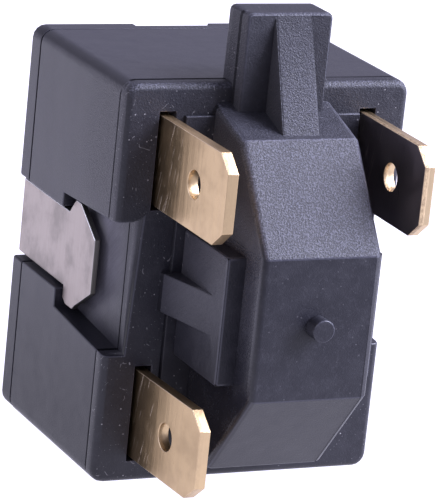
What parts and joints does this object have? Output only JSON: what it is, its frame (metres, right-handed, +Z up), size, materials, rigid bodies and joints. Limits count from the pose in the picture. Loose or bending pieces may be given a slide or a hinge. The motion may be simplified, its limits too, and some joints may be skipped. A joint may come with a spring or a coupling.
{
  "type": "compressor start relay",
  "caption": "Compressor start relay: black moulded box with brass blade terminals, a sloped chamber block, a ribbed post and a barbed steel retaining clip.",
  "frame": {"origin": "bottom centre of the whole relay's box, on the surface that it stands on", "axes": "+Z up along the post, +Y towards the compressor pins, -Y out along the blades, X across the box"},
  "size_m": [0.0214, 0.0284, 0.0335],
  "materials": {
    "black_moulding": "fine moulded texture",
    "brass": "satin rolled sheet",
    "bright_steel": "satin rolled strip",
    "spring_steel": "satin",
    "silvered_ceramic": "fired silver electrode"
  },
  "bodies": {
    "root": {"housing": "black_moulding", "rear_cover": "black_moulding", "retaining_clip": "bright_steel", "run_terminal": "brass", "start_terminal": "brass", "supply_terminal": "brass", "run_grip_spring": "bright_steel", "start_grip_spring": "bright_steel", "ptc_disc": "silvered_ceramic", "run_contact_spring": "spring_steel", "start_contact_spring": "spring_steel", "run_rivet": "brass", "supply_rivet": "brass", "start_rivet": "brass"}
  },
  "joints": []
}
